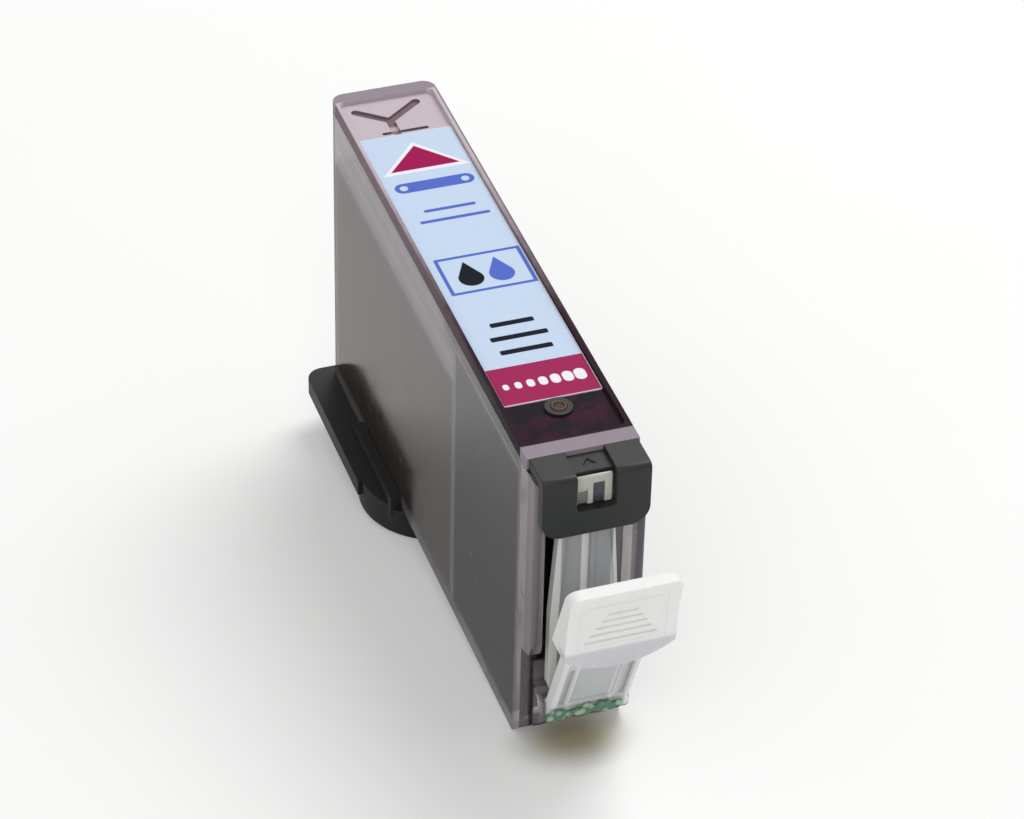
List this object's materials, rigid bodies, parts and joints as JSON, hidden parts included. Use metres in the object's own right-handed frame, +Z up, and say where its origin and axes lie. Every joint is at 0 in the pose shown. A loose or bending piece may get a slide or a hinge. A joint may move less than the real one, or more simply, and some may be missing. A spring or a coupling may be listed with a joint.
{
  "type": "inkjet ink cartridge",
  "caption": "Slim clear-walled ink tank with a sprung latch lever, light guide, contact chip, printed top label and a pull-off outlet cap.",
  "frame": {"origin": "on the axis of the ink outlet, in the plane of the tank's underside", "axes": "+Z up, +Y along the tank from the lever end to the back, +X to the right as seen from the lever end"},
  "size_m": [0.0202, 0.09, 0.0454],
  "materials": {
    "tank": "clear smoky polystyrene, polished",
    "lid": "clear polystyrene with a pinkish tint",
    "label": "coated label, light blue with a magenta band",
    "plug": "dark rubber",
    "ring": "dull brown",
    "ink": "deep magenta liquid",
    "sponge": "foam soaked with magenta ink",
    "dense_sponge": "dense foam soaked with magenta ink",
    "wick": "pressed felt",
    "cover": "fine-grained dark plastic",
    "guide": "clear acrylic",
    "lever": "frosted natural polypropylene",
    "board": "green solder mask",
    "contacts": "gold plated",
    "lamp": "clear resin lamp",
    "die": "black epoxy",
    "adhesive": "white foam tape",
    "cap": "black polypropylene, satin",
    "seal": "soft grey rubber"
  },
  "bodies": {
    "tank": {"tank_body": "tank", "tank_lid": "lid", "top_label": "label", "fill_plug": "plug", "plug_ring": "ring", "ink_charge": "ink", "upper_sponge": "sponge", "lower_sponge": "dense_sponge", "outlet_wick": "wick", "front_cap": "cover", "light_guide": "guide", "chip_board": "board", "chip_contacts": "contacts", "chip_led": "lamp", "chip_die": "die", "chip_adhesive": "adhesive"},
    "lever": {"latch_lever": "lever"},
    "cap": {"outlet_cap": "cap", "cap_seal": "seal"}
  },
  "joints": [
    {"name": "lever_flex", "type": "hinge", "parent": "tank", "child": "lever", "pos_m": [0, -0.0549, 0.0079], "axis": [-1, 0, 0], "range_deg": [0, 12], "stiffness_Nm_per_rad": 0.05},
    {"name": "cap_pull", "type": "slide", "parent": "tank", "child": "cap", "axis": [0, 0, -1], "range_m": [0, 0.012]}
  ]
}
